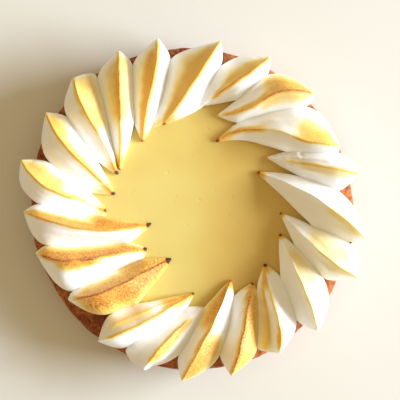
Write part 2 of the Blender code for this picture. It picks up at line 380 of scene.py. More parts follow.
# %% The piping plan
# nose angle and radius, tail angle and radius, bow, sway, height, fullness anticlockwise and clockwise
BLADES = (
    (101.0, 0.1050, 126.5, 0.0510, 0.0009, 0.0012, 0.0250, 1.8, 1.8),
    (80.0, 0.1030, 108.5, 0.0545, 0.0011, 0.0002, 0.0245, 1.5, 1.8),
    (62.5, 0.1035, 83.0, 0.0640, 0.0004, 0.0006, 0.0225, 2.6, 1.8),
    (43.0, 0.1020, 74.5, 0.0595, -0.0026, -0.0027, 0.0235, 2.4, 1.8),
    (23.0, 0.0980, 70.0, 0.0440, -0.0065, 0.0031, 0.0215, 2.5, 1.6),
    (11.5, 0.1040, 34.0, 0.0565, 0.0, -0.0002, 0.0225, 2.8, 1.6),
    (-10.0, 0.1080, 29.0, 0.0465, -0.0047, 0.0004, 0.0250, 2.2, 1.6),
    (-22.5, 0.1095, -3.0, 0.0550, 0.0028, 0.0007, 0.0240, 2.5, 2.0),
    (-44.0, 0.1070, -16.0, 0.0570, -0.0009, -0.0003, 0.0245, 3.0, 1.6),
    (-58.5, 0.1030, -37.0, 0.0570, -0.0014, -0.0011, 0.0220, 2.0, 1.8),
    (-76.5, 0.1045, -50.5, 0.0595, -0.0009, -0.0002, 0.0240, 1.8, 1.6),
    (-93.0, 0.1050, -61.0, 0.0505, -0.0011, 0.0006, 0.0245, 2.5, 1.8),
    (-106.5, 0.1020, -83.0, 0.0615, 0.0025, 0.0003, 0.0225, 1.6, 3.5),
    (-125.0, 0.0985, -88.0, 0.0525, -0.0016, 0.0, 0.0235, 2.2, 1.7),
    (-143.5, 0.0930, -111.5, 0.0335, -0.0029, -0.0007, 0.0240, 2.5, 1.6),
    (-164.0, 0.0980, -137.5, 0.0370, -0.0045, -0.0013, 0.0240, 2.4, 1.6),
    (-179.0, 0.1015, -158.5, 0.0265, -0.0062, 0.0005, 0.0245, 3.2, 1.6),
    (164.0, 0.1070, 182.0, 0.0525, -0.0050, -0.0013, 0.0240, 7.0, 1.6),
    (146.5, 0.1055, 170.0, 0.0480, -0.0028, -0.0007, 0.0240, 2.6, 1.7),
    (132.0, 0.1065, 155.5, 0.0500, -0.0003, -0.0010, 0.0250, 2.6, 4.0),
    (114.5, 0.1050, 152.0, 0.0500, 0.0012, -0.0001, 0.0255, 1.8, 1.8),
)

# valley towards the next blade clockwise: outer angle and radius, inner angle and radius, bow
VALLEYS = (
    (98.0, 0.0915, 117.5, 0.0550, 0.0015),
    (78.5, 0.0885, 87.0, 0.0600, -0.0008),
    (60.5, 0.0930, 67.0, 0.0725, 0.0),
    (42.0, 0.0930, 61.5, 0.0600, -0.0010),
    (20.5, 0.0960, 31.0, 0.0675, 0.0),
    (7.0, 0.0900, 15.5, 0.0710, 0.0),
    (-12.5, 0.1000, -8.5, 0.0755, -0.0005),
    (-27.5, 0.0905, -20.0, 0.0685, 0.0),
    (-46.5, 0.0930, -37.5, 0.0695, -0.0005),
    (-65.0, 0.0945, -51.0, 0.0645, -0.0008),
    (-78.5, 0.0900, -64.0, 0.0605, -0.0010),
    (-94.5, 0.0895, -81.0, 0.0605, -0.0005),
    (-114.5, 0.0925, -92.0, 0.0610, 0.0),
    (-127.0, 0.0800, -119.5, 0.0680, 0.0),
    (-145.0, 0.0880, -133.5, 0.0435, 0.0005),
    (-165.5, 0.0905, -151.0, 0.0440, -0.0010),
    (178.5, 0.0925, 185.5, 0.0540, 0.0),
    (162.5, 0.0895, 171.0, 0.0635, 0.0),
    (144.0, 0.0925, 153.0, 0.0655, 0.0),
    (126.0, 0.0970, 142.0, 0.0615, 0.0005),
    (112.5, 0.0935, 123.5, 0.0640, 0.0),
)
print(len(BLADES), "blades and", len(VALLEYS), "valleys")

# %% [markdown]
# ## From plan to surface
# At each share of the length the crest gives the top point and the valleys give the two widest points. The
# solids join them with three straight steps. Here the flank follows one curve, hollow by the crest and full
# lower down, and the foot sinks a hair into curd and rim so that no light shows under it.

# %% Reading the crest and the outline
# the crest: shares of the length, and its height there as a share of the blade's full height
CREST_SHARES = (0.0, 0.08, 0.22, 0.45, 0.70, 0.90, 1.0)
CREST_LEVELS = (0.60, 0.84, 1.0, 0.87, 0.50, 0.20, 0.10)
CREST_SLOPES = np.gradient(np.array(CREST_LEVELS), np.array(CREST_SHARES))
# the feet: how deep they sink, and the distances from the axis between which they climb to the rim
SUNK_INTO_RIM = 0.0002
SUNK_INTO_CURD = 0.0004
FOOT_ON_RIM = CRUST_HEIGHT - SUNK_INTO_RIM
FOOT_ON_CURD = CURD_TOP - SUNK_INTO_CURD
CURD_ENDS = 0.0800
RIM_STARTS = 0.0855
FOOT_INSET = 0.0010
WIDEST_SHARE = 0.42
# the valleys: how far neighbours overlap, and how their line climbs with the distance from the axis
VALLEY_OVERLAP = 0.0003
OVERLAP_FADES_BELOW = 0.006
VALLEY_FROM = 0.054
VALLEY_TO = 0.092
VALLEY_LOW = 0.0010
VALLEY_RISE = 0.0112
CORNER_SOFTNESS = 0.028
# the ends: where a valley may begin and end, and how nose and tail are rounded and closed
NOSE_SHARES = (0.07, 0.4)
TAIL_SHARES = (0.5, 0.93)
KEEL_LENGTH = 0.11
KEEL_CURVE = 1.6
NOSE_ROUNDING = 0.0004
TAIL_ROUNDING = 0.0012
TAIL_BLUNTNESS = 0.85
SQUEEZE_FROM = 0.97
# blade and side: the radius of a round nose, and how far the outline beside its tip swells outwards
ROUND_NOSES = {(13, 1): 0.0080, (13, -1): 0.0028, (20, 1): 0.0066, (20, -1): 0.0036, (4, 1): 0.0030}
SWOLLEN_NOSES = {(13, 1): 0.0042, (20, 1): 0.0016, (4, 1): 0.0006}


def polar(angle, radius):
    """A point of the plan, from its angle in degrees and its distance from the axis."""
    turn = math.radians(angle)
    return Vector((radius * math.cos(turn), radius * math.sin(turn)))


def crest_level(t):
    """Height of the crest at a share of the length, as a share of the blade's full height."""
    index = int(held(np.searchsorted(CREST_SHARES, t) - 1, 0, len(CREST_SHARES) - 2))
    span = CREST_SHARES[index + 1] - CREST_SHARES[index]
    s = (t - CREST_SHARES[index]) / span
    near_level, far_level = CREST_LEVELS[index:index + 2]
    near_slope, far_slope = CREST_SLOPES[index:index + 2]
    near = (1.0 + 2.0 * s) * (1.0 - s) ** 2 * near_level + s * (1.0 - s) ** 2 * span * near_slope
    far = s * s * (3.0 - 2.0 * s) * far_level + s * s * (s - 1.0) * span * far_slope
    return float(near + far)


def eased(share):
    """A share held between 0 and 1, with soft ends."""
    share = held(share, 0.0, 1.0)
    return share * share * (3.0 - 2.0 * share)


def window(value, low, high, fade):
    """1 between low and high, fading to 0 outside them."""
    return eased((value - low) / fade + 0.5) * eased((high - value) / fade + 0.5)


def round_end(distance, size):
    """Half width of a round end of the given radius at a distance from its tip."""
    inside = size - min(distance, size)
    return math.sqrt(size * size - inside * inside)


def resting_height(point):
    """Height of a foot, which climbs from the curd to the rim."""
    part = held((point.length - CURD_ENDS) / (RIM_STARTS - CURD_ENDS), 0.0, 1.0)
    return FOOT_ON_CURD + (FOOT_ON_RIM - FOOT_ON_CURD) * part


def valley_height(point):
    """Neighbouring blades meet at one height, which climbs outwards from the curd."""
    climb = eased((point.length - VALLEY_FROM) / (VALLEY_TO - VALLEY_FROM))
    return CURD_TOP + VALLEY_LOW + VALLEY_RISE * climb


print("a crest starts at", CREST_LEVELS[0], "of its height and peaks at", CREST_SHARES[2], "of its length")

# %% [markdown]
# ## Small folds
# Meringue keeps the marks of the nozzle. One blade has a second fold beside its crest, one has a stripe where
# the flank was pressed flat, one wavers, and the inner end of another is torn. They are written as short
# rows, each a soft ridge or groove along part of a flank, and added to the curve of the flank.

# %% The folds that the photograph shows
# blade, side (1 clockwise, -1 anticlockwise), place on the flank, half width, height, from and to along it
FOLDS = (
    (14, 1, 0.52, 0.13, 0.0016, 0.16, 0.66),
    (14, 1, 0.30, 0.12, -0.0006, 0.16, 0.66),
    (10, 1, 0.66, 0.14, 0.0012, 0.08, 0.75),
    (10, 1, 0.36, 0.12, -0.0010, 0.08, 0.60),
    (4, -1, 0.80, 0.14, 0.0012, 0.34, 0.60),
    (5, 1, 0.50, 0.20, -0.0006, 0.30, 0.80),
    (6, -1, 0.45, 0.15, 0.0007, 0.30, 0.90),
    (6, 1, 0.40, 0.14, 0.0008, 0.45, 0.95),
    (7, 1, 0.45, 0.20, -0.0008, 0.20, 0.75),
    (8, 1, 0.50, 0.15, 0.0006, 0.15, 0.70),
    (13, -1, 0.55, 0.14, 0.0007, 0.20, 0.70),
    (3, 1, 0.60, 0.14, 0.0008, 0.20, 0.80),
    (16, -1, 0.55, 0.16, -0.0005, 0.30, 0.70),
    (20, 1, 0.60, 0.15, 0.0006, 0.25, 0.75),
    (1, 1, 0.62, 0.15, 0.0005, 0.20, 0.80),
)

# blade, sideways size, number of waves, start
WAVERS = {5: (0.0007, 2.6, 0.5), 4: (0.0004, 2.0, 1.0), 7: (0.0003, 3.0, 0.2), 11: (0.0003, 3.5, 0.9)}
# every other crest wavers slightly, and each from another start
SLIGHT_WAVER = (0.00015, 4.0)
WAVER_START = 1.3

# blade, depth, size of the lumps, from and to along it
TORN = {6: (0.0013, 0.0030, 0.62, 1.0), 11: (0.0003, 0.0012, 0.0, 0.95), 15: (0.00045, 0.0012, 0.1, 0.95)}
print(len(FOLDS), "folds,", len(WAVERS), "wavering crests and", len(TORN), "torn or grainy patches")


# %% The blade itself
class Blade:
    """A crest from nose to tail with an outline on each side, as in the solids but followed finely."""

    def __init__(self, number):
        row = BLADES[number - 1]
        nose_angle, nose_radius, tail_angle, tail_radius, self.bow, self.sway, self.height = row[:7]
        self.number = number
        self.fullness = {-1: row[7], 1: row[8]}
        self.valleys = {1: VALLEYS[number - 1], -1: VALLEYS[number - 2]}
        self.nose = polar(nose_angle, nose_radius)
        self.tail = polar(tail_angle, tail_radius)
        chord = self.tail - self.nose
        self.length = chord.length
        self.along = chord / self.length
        self.across = Vector((-self.along.y, self.along.x))
        self.folds = [fold[1:] for fold in FOLDS if fold[0] == number]
        self.waver = WAVERS.get(number, (*SLIGHT_WAVER, number * WAVER_START))
        self.torn = TORN.get(number)
        self.shared = {side: self.shared_range(side) for side in (-1, 1)}

    def shared_range(self, side):
        """The shares of the length between which this blade and its neighbour meet in a valley."""
        outer_angle, outer_radius, inner_angle, inner_radius = self.valleys[side][:4]
        outer = (polar(outer_angle, outer_radius) - self.nose).dot(self.along)
        inner = (polar(inner_angle, inner_radius) - self.nose).dot(self.along)
        return held(outer / self.length, *NOSE_SHARES), held(inner / self.length, *TAIL_SHARES)

    def crest_offset(self, t):
        """How far the crest bends sideways from the straight line between nose and tail."""
        size, waves, start = self.waver
        steady = self.bow * math.sin(math.pi * t) + self.sway * math.sin(math.tau * t)
        return steady + size * math.sin(math.tau * (waves * t + start)) * math.sin(math.pi * t)

    def crest(self, t):
        plan = self.nose + self.along * (self.length * t) + self.across * self.crest_offset(t)
        return plan, FOOT_ON_RIM + self.height * crest_level(t)

    def keel(self, t):
        """How far the foot is lifted at the nose, so that its underside is round."""
        if t >= KEEL_LENGTH:
            return 0.0
        return self.height * CREST_LEVELS[0] * (1.0 - t / KEEL_LENGTH) ** KEEL_CURVE

    def outline(self, side, t):
        """The widest line, with its corners eased by averaging it over a short stretch."""
        ease = min(CORNER_SOFTNESS, t, 1.0 - t)
        soft = (self.drawn(side, t - ease) + self.drawn(side, t) * 2.0 + self.drawn(side, t + ease)) / 4.0
        outward = soft - self.crest(t)[0]
        return soft + outward * (VALLEY_OVERLAP / max(outward.length, OVERLAP_FADES_BELOW))

    def drawn(self, side, t):
        """The widest line before its corners are eased: nose, shared valley or tail."""
        outer_angle, outer_radius, inner_angle, inner_radius, bow = self.valleys[side]
        outer = polar(outer_angle, outer_radius)
        inner = polar(inner_angle, inner_radius)
        step = inner - outer
        sideways = Vector((-step.y, step.x)) / step.length
        outer_along, outer_across = (outer - self.nose).dot(self.along), (outer - self.nose).dot(self.across)
        inner_along, inner_across = (inner - self.nose).dot(self.along), (inner - self.nose).dot(self.across)
        outer_share, inner_share = self.shared[side]
        if t < outer_share:
            part = t / outer_share
            gap = outer_across - self.crest_offset(outer_share)
            bulge = round_end(t * self.length, ROUND_NOSES.get((self.number, side), NOSE_ROUNDING))
            width = max(abs(gap) * (1.0 - (1.0 - part) ** self.fullness[side]), min(bulge, abs(gap)))
            across = self.crest_offset(t) + math.copysign(width, gap)
            swell = SWOLLEN_NOSES.get((self.number, side), 0.0) * math.sin(math.pi * part)
            point = self.nose + self.along * (outer_along * part - swell) + self.across * across
        elif t > inner_share:
            part = (1.0 - t) / (1.0 - inner_share)
            gap = inner_across - self.crest_offset(inner_share)
            tip = round_end((1.0 - t) * self.length, TAIL_ROUNDING)
            width = max(abs(gap) * part ** TAIL_BLUNTNESS, min(tip, abs(gap)))
            across = self.crest_offset(t) + math.copysign(width, gap)
            point = self.nose + self.along * (self.length + (inner_along - self.length) * part)
            point = point + self.across * across
        else:
            part = (t - outer_share) / (inner_share - outer_share)
            point = outer + step * part + sideways * (bow * math.sin(math.pi * part))
        return point


print("the longest blade is", round(max(Blade(n + 1).length for n in range(len(BLADES))) * 1000), "mm long")


# %% A point on a blade
FLANK_SPAN = 0.84
FLANK_CROWDING = 1.2
# the curve of a flank: its fall at the crest, its hollow, its full lower half and its levelling in a valley
FLANK_FALL = 1.30
FLANK_HOLLOW = 1.10
FLANK_FULLNESS = 0.80
FLANK_LEVELLING = 1.45
JOINING_FADE = 0.24
VALLEY_BELOW_CREST = 0.0004
INSET_OF_REACH = 0.3
# every flank has soft lumps and ripples, and each blade takes its own part of the noise
SWELL_SIZE = 0.011
SWELL_RISE = 0.00055
SWELL_SEED = 3.1
RIPPLE_RISE = 0.00012
RIPPLES = 2.6
RIPPLE_SEED = 0.37
RIPPLE_DRIFT = 0.5
DRIFTS = 2.5
DRIFT_SEED = 7.7
CALM_ENDS = (0.06, 0.94, 0.10)
FOLD_FADE = 0.14
TEAR_FADE = 0.10
TEAR_AT_CREST = 0.4
TEAR_GROWTH = 6.0
# flanks narrower than these carry less relief
SWELL_REACH = 0.006
FOLD_REACH = 0.008
TEAR_REACH = 0.004


def flank_share(s, shared):
    """Height share from 1 at the crest to 0 at the widest line; it levels out where a neighbour joins."""
    alone = 1.0 - FLANK_FALL * s + FLANK_HOLLOW * s * s - FLANK_FULLNESS * s ** 3
    return alone - FLANK_LEVELLING * shared * s ** 4 * (1.0 - s)


def spots(point, size, seed):
    """Noise of about the given size in metres over the plan; each seed gives other spots."""
    return noise.noise(Vector((point.x / size, point.y / size, seed)))


class Station:
    """What all points at one share of a blade's length have in common."""

    def __init__(self, blade, t):
        self.blade = blade
        self.t = t
        self.plan, self.top = blade.crest(t)
        self.edges = {side: blade.outline(side, t) for side in (-1, 1)}
        self.lift = blade.keel(t)
        part = held((t - SQUEEZE_FROM) / (1.0 - SQUEEZE_FROM), 0.0, 1.0)
        self.squeeze = math.sqrt(max(0.0, 1.0 - part * part))

    def point(self, across):
        """Across runs from -1, the anticlockwise foot, over 0, the crest, to 1, the clockwise foot."""
        side = 1 if across > 0.0 else -1
        edge = self.edges[side]
        outward = edge - self.plan
        reach = max(outward.length, 1e-6)
        foot = resting_height(edge) + self.lift
        shared = window(self.t, *self.blade.shared[side], JOINING_FADE)
        alone = foot + WIDEST_SHARE * (self.top - foot)
        valley = min(valley_height(edge), self.top - VALLEY_BELOW_CREST)
        widest = alone + (valley - alone) * shared
        far = abs(across)
        if far <= FLANK_SPAN:
            s = (far / FLANK_SPAN) ** FLANK_CROWDING
            plan = self.plan + outward * s
            height = widest + (self.top - widest) * flank_share(s, shared) + self.relief(side, s, plan, reach)
        else:
            turn = (far - FLANK_SPAN) / (1.0 - FLANK_SPAN) * math.pi / 2.0
            inset = min(FOOT_INSET, reach * INSET_OF_REACH) * (1.0 - math.cos(turn))
            plan = edge - outward / reach * inset
            height = widest + (foot - widest) * math.sin(turn)
        middle = (FOOT_ON_CURD + self.top) / 2.0
        height = middle + (height - middle) * self.squeeze
        return Vector((plan.x, plan.y, height))

    def relief(self, side, s, plan, reach):
        """Soft lumps and nozzle folds, dying out at the crest, the valley, the nose and the tail."""
        blade = self.blade
        calm = 4.0 * s * (1.0 - s) * window(self.t, *CALM_ENDS) * min(1.0, reach / SWELL_REACH)
        swell = SWELL_RISE * spots(plan, SWELL_SIZE, blade.number * SWELL_SEED)
        drift = RIPPLE_DRIFT * noise.noise(Vector((self.t * DRIFTS, blade.number * DRIFT_SEED, side)))
        ripple = RIPPLE_RISE * math.sin(math.tau * (s * RIPPLES + drift + blade.number * RIPPLE_SEED))
        total = (swell + ripple) * calm
        for fold_side, middle, half, height, first, last in blade.folds:
            if fold_side == side:
                hump = math.exp(-(((s - middle) / half) ** 2))
                total += height * hump * window(self.t, first, last, FOLD_FADE) * min(1.0, reach / FOLD_REACH)
        if blade.torn:
            depth, size, first, last = blade.torn
            tear = depth * spots(plan, size, blade.number) * window(self.t, first, last, TEAR_FADE)
            total += tear * min(1.0, s * TEAR_GROWTH + TEAR_AT_CREST) * min(1.0, reach / TEAR_REACH)
        return total


print("the flank falls to", round(flank_share(0.5, 1.0), 2), "of its height half-way down")

# %% [markdown]
# ## Where the torch went
# A torch browns what stands up: the crest first, then the flank that faced the flame, and the thin tails
# char. No two blades are alike here, so each has its own few strokes, as a cook would remember them. A
# stroke says which flank, from where to where along the blade, how far down the flank and how dark.
# They are stored on the vertices as an attribute, and the material turns that into colour.

# %% The strokes of the torch
# Darkness: 0.2 cream, 0.35 light yellow, 0.5 gold, 0.65 golden brown, 0.8 brown, 0.9 dark brown, 1 char
# strokes: side, from, to, nearest and farthest place on the flank, darkness
STROKES = {
    1: ((-1, 0.10, 0.62, 0.0, 0.62, 0.53), (-1, 0.50, 1.00, 0.0, 0.56, 0.57)),
    2: ((-1, 0.03, 0.75, 0.0, 0.74, 0.48), (-1, 0.60, 1.00, 0.0, 0.62, 0.52)),
    3: ((-1, 0.02, 0.62, 0.0, 0.60, 0.43), (-1, 0.50, 0.86, 0.0, 0.40, 0.40)),
    4: (
        (-1, 0.04, 0.47, 0.0, 1.05, 0.56), (-1, 0.40, 0.92, 0.0, 0.34, 0.48),
        (1, 0.02, 0.55, 0.0, 0.80, 0.33), (-1, 0.02, 0.16, 0.0, 1.20, 0.63),
    ),
    5: ((-1, 0.02, 0.34, 0.0, 0.70, 0.54), (-1, 0.62, 0.98, 0.0, 0.40, 0.50)),
    6: ((1, 0.02, 0.62, 0.0, 0.50, 0.27), (-1, 0.05, 0.60, 0.0, 0.16, 0.38)),
    7: (
        (1, 0.03, 0.24, 0.05, 0.50, 0.28), (1, 0.05, 0.42, 0.0, 0.34, 0.24),
        (-1, 0.00, 0.40, 0.0, 0.25, 0.22),
    ),
    8: ((-1, 0.04, 0.66, 0.0, 1.15, 0.26), (1, 0.04, 0.34, 0.0, 0.50, 0.24)),
    9: ((-1, 0.04, 0.84, 0.0, 1.05, 0.26), (1, 0.10, 0.42, 0.0, 0.16, 0.28)),
    10: (
        (1, 0.02, 0.78, 0.42, 0.90, 0.51), (1, 0.72, 1.00, 0.0, 0.80, 0.54),
        (1, 0.05, 0.30, 0.0, 0.20, 0.50),
    ),
    11: (
        (-1, 0.02, 0.92, 0.0, 1.35, 0.53), (-1, 0.06, 0.60, 0.0, 0.34, 0.66),
        (1, 0.76, 0.98, 0.0, 0.50, 0.58),
    ),
    12: (
        (1, 0.52, 0.97, 0.0, 1.05, 0.61), (1, 0.26, 0.60, 0.0, 0.30, 0.56),
        (-1, 0.00, 0.50, 0.0, 1.00, 0.63),
    ),
    13: ((-1, 0.14, 0.80, 0.0, 0.46, 0.56),),
    14: (
        (1, 0.18, 0.62, 0.30, 0.64, 0.58), (1, 0.70, 1.00, 0.0, 1.20, 0.61),
        (-1, 0.76, 0.99, 0.0, 0.54, 0.55),
    ),
    15: (
        (-1, 0.10, 1.00, 0.0, 1.20, 0.67), (-1, 0.66, 1.00, 0.0, 1.60, 0.60),
        (1, 0.12, 0.62, 0.0, 0.90, 0.56), (1, 0.50, 1.00, 0.0, 1.35, 0.59),
    ),
    16: (
        (1, 0.02, 0.98, 0.0, 1.02, 0.65), (1, 0.05, 0.95, 0.0, 0.34, 0.69),
        (-1, 0.20, 0.58, 0.0, 0.36, 0.62),
    ),
    17: ((1, 0.02, 0.66, 0.0, 0.60, 0.60), (1, 0.50, 0.98, 0.0, 1.25, 0.65)),
    18: ((1, 0.02, 0.52, 0.0, 0.90, 0.50), (1, 0.40, 0.80, 0.0, 0.30, 0.50)),
    # blade 19: the first stroke is real toast, made deeper as painted shade where blade 20 shades that flank
    19: ((1, 0.02, 0.34, 0.0, 0.75, 0.55), (1, 0.20, 0.86, 0.0, 0.38, 0.51)),
    20: ((1, 0.03, 0.56, 0.0, 0.90, 0.47), (-1, 0.04, 0.40, 0.0, 0.30, 0.34)),
    21: (
        (-1, 0.03, 0.60, 0.0, 0.36, 0.51), (-1, 0.08, 0.60, 0.0, 0.72, 0.33),
        (1, 0.02, 0.60, 0.0, 0.80, 0.38),
    ),
}

# crest lines: from, to, darkness, half width in metres
CREST_LINES = {
    1: ((0.03, 1.00, 0.68, 0.0016),),
    2: ((0.00, 0.95, 0.64, 0.0014),),
    3: ((0.00, 0.86, 0.68, 0.0014),),
    4: ((0.00, 0.56, 0.72, 0.0017), (0.50, 0.95, 0.60, 0.0013)),
    5: ((0.00, 0.39, 0.64, 0.0018), (0.38, 0.62, 0.24, 0.0012), (0.60, 1.00, 0.64, 0.0017)),
    6: ((0.00, 0.66, 0.56, 0.0012), (0.58, 0.78, 0.38, 0.0012)),
    7: ((0.00, 0.40, 0.42, 0.0010),),
    8: ((0.00, 0.50, 0.46, 0.0009),),
    9: ((0.00, 0.60, 0.28, 0.0011),),
    10: ((0.03, 0.34, 0.64, 0.0016), (0.28, 0.72, 0.38, 0.0012)),
    11: ((0.00, 0.96, 0.72, 0.0020),),
    12: ((0.00, 0.62, 0.63, 0.0016),),
    13: ((0.10, 0.76, 0.64, 0.0014),),
    14: ((0.10, 0.72, 0.52, 0.0014),),
    15: ((0.06, 1.00, 0.80, 0.0018),),
    16: ((0.03, 0.60, 0.79, 0.0020), (0.50, 0.96, 0.66, 0.0014)),
    17: ((0.00, 0.92, 0.63, 0.0014),),
    18: ((0.00, 0.68, 0.64, 0.0014), (0.60, 0.92, 0.30, 0.0010)),
    19: ((0.00, 0.86, 0.66, 0.0014),),
    20: ((0.00, 0.60, 0.64, 0.0014), (0.50, 0.90, 0.28, 0.0010)),
    21: ((0.02, 0.62, 0.72, 0.0014), (0.56, 1.00, 0.54, 0.0012)),
}

# tails: where the browning begins, how far the char reaches from the tip in metres, and how dark it is
TAILS = {
    1: (0.84, 0.0018, 0.80), 2: (0.80, 0.0024, 0.80), 3: (0.97, 0.0, 0.30), 4: (0.97, 0.0, 0.50),
    5: (0.80, 0.0026, 0.88), 6: (0.98, 0.0, 0.20), 7: (0.90, 0.0024, 0.82), 8: (0.92, 0.0018, 0.86),
    9: (0.92, 0.0017, 0.86), 10: (0.84, 0.0022, 0.92), 11: (0.84, 0.0018, 0.88), 12: (0.88, 0.0018, 0.78),
    13: (0.98, 0.0, 0.20), 14: (0.88, 0.0020, 0.88), 15: (0.84, 0.0046, 0.97), 16: (0.90, 0.0025, 0.92),
    17: (0.86, 0.0036, 0.94), 18: (0.84, 0.0022, 0.84), 19: (0.76, 0.0028, 0.92), 20: (0.80, 0.0028, 0.93),
    21: (0.78, 0.0018, 0.78),
}

# how much of the toasting is grainy, as on a surface that blistered
GRAINY = {
    1: 0.25, 2: 0.15, 4: 0.4, 5: 0.4, 6: 0.3, 10: 0.35, 11: 0.85, 12: 0.6, 13: 0.5, 14: 0.3, 15: 0.65,
    16: 0.6, 17: 0.4, 20: 0.3, 21: 0.3,
}
print(sum(len(rows) for rows in STROKES.values()), "strokes of the torch")


# %% How dark a point is
# flecks break every edge: their size and seed, and how far they move a stroke, a crest line and the char
FLECK_SIZE = 0.0042
FLECK_SEED = 1.7
FLECKS_ON_STROKES = 0.08
FLECKS_ON_LINES = 0.3
FLECKS_ON_DARKNESS = 0.10
FLECKS_ON_CHAR = 0.0005
# strokes: how softly they begin and end, and their reach and soft edge as shares of their width
STROKE_FADE = 0.18
STROKE_REACH = 1.25
STROKE_SOFTNESS = 0.85
NEAR_EDGE_FADE = 0.22
PAST_THE_FLANK = 2.0
CREST_ZONE = 0.02
LINE_FADE = 0.12
# tails: how brown they get and how fast, and the width, reach and soft edge of the char
TAIL_BROWN = 0.62
BROWNING_SPEED = 1.5
CHAR_WIDTH = 0.0018
CHAR_NARROWING = 1.1
CHAR_REACH = 1.35
CHAR_SOFTNESS = 0.70


def torched(blade, station, across, reach, point):
    """How dark the torch made this point, 0 to 1."""
    t = station.t
    side = 1 if across > 0.0 else -1
    s = held(abs(across) / FLANK_SPAN, 0.0, 1.0) ** FLANK_CROWDING
    down = s * reach
    fleck = spots(point, FLECK_SIZE, blade.number * FLECK_SEED)
    dark = 0.0
    for stroke_side, first, last, near, far, depth in STROKES[blade.number]:
        if stroke_side == side or s < CREST_ZONE:
            inner_side = 1.0 if near == 0.0 else window(s, near, PAST_THE_FLANK, NEAR_EDGE_FADE)
            spread = eased((far * STROKE_REACH - s + fleck * FLECKS_ON_STROKES) / (far * STROKE_SOFTNESS))
            dark = max(dark, depth * window(t, first, last, STROKE_FADE) * inner_side * spread)
    for first, last, depth, half in CREST_LINES[blade.number]:
        near_crest = math.exp(-((down / (half * (1.0 + FLECKS_ON_LINES * fleck))) ** 2))
        shade = depth - FLECKS_ON_DARKNESS * max(0.0, fleck)
        dark = max(dark, shade * window(t, first, last, LINE_FADE) * near_crest)
    browning, char_length, tip = TAILS[blade.number]
    if t > browning:
        near_crest = math.exp(-((down / CHAR_WIDTH) ** 2))
        rise = eased((t - browning) / (1.0 - browning) * BROWNING_SPEED)
        dark = max(dark, min(TAIL_BROWN, tip) * rise * (0.5 + 0.5 * near_crest))
    if char_length > 0.0:
        from_tip = math.hypot((1.0 - t) * blade.length, down * CHAR_NARROWING) + fleck * FLECKS_ON_CHAR
        dark = max(dark, tip * eased((char_length * CHAR_REACH - from_tip) / (char_length * CHAR_SOFTNESS)))
    return dark


print("a tail turns brown to", TAIL_BROWN, "and then chars")

# %% [markdown]
# ## Meringue and its toasting
# Whipped egg white bakes to a soft white, and the torch takes it through yellow, gold and brown to black. One
# colour ramp holds this whole scale, and the attribute from the torch says where on it a point is. Noise of
# two sizes breaks the edges of the strokes, and the blistered places get fine grains, both in colour and as a
# bump. Where the meringue is only a film, a second attribute lets the yellow of the curd show through.

# %% The meringue finish
meringue, shader, start = new_finish(
    "toasted_meringue", Roughness=0.55, Subsurface_Weight=0.35, Subsurface_Scale=0.0025
)
shader.inputs["Subsurface Radius"].default_value = (1.0, 0.95, 0.85)
place = start.node("ShaderNodeTexCoord", out="Object")
toast = start.node("ShaderNodeAttribute", {"attribute_name": "toast"}, out="Fac")
grainy = start.node("ShaderNodeAttribute", {"attribute_name": "grainy"}, out="Fac")
thin = start.node("ShaderNodeAttribute", {"attribute_name": "thin"}, out="Fac")
patches = clouds(place, 0.0075)
freckles = clouds(place, 0.0011, 1.0)
foam = clouds(place, 0.0030)
touched = toast.over(0.04, 0.30)
dark_side = toast.over(0.35, 0.60)
level = toast + (patches - 0.5) * touched * 0.12 + (freckles - 0.55) * (grainy * 0.50 + dark_side * 0.10)
scale = (
    (0.0, paint(254, 254, 251)),
    (1.0, paint(40, 24, 18)),
    (0.14, paint(251, 243, 216)),
    (0.30, paint(243, 220, 146)),
    (0.42, paint(238, 202, 112)),
    (0.54, paint(232, 182, 82)),
    (0.64, paint(216, 150, 60)),
    (0.74, paint(180, 104, 38)),
    (0.84, paint(128, 62, 22)),
    (0.93, paint(64, 32, 18)),
)
toasted = level.node("ShaderNodeValToRGB", {"stops": scale}, {0: level})
lit_through = blended(thin * (1.0 - dark_side) * 0.85, toasted, paint(242, 224, 150))
send(lit_through, shader, "Base Color")
raised(foam * 0.00015 + freckles * (0.00005 + grainy * 0.00040), shader)
print("meringue:", len(meringue.node_tree.nodes), "nodes")

# %% Pipe the blades
ALONG_STEPS = 132
ACROSS_STEPS = 56
END_CROWDING = 0.45
# a film is lower over the curd than this, and lies nearer to the axis
THIN_BELOW = 0.0024
THIN_RANGE = 0.0020
THIN_WITHIN = 0.078
# the grid is 1 wide, so an edge past this on both ends is a foot
FOOT_EDGE = 0.499
MERGE_PIPING_WITHIN = 0.000004
LEAST_GRAIN = 0.08
GRAIN_FROM = 0.35
GRAIN_RANGE = 0.2


def thinness(point):
    """1 where the meringue is only a film over the curd, so that the curd shines through."""
    if math.hypot(point.x, point.y) > THIN_WITHIN:
        return 0.0
    return eased((THIN_BELOW - (point.z - CURD_TOP)) / THIN_RANGE)


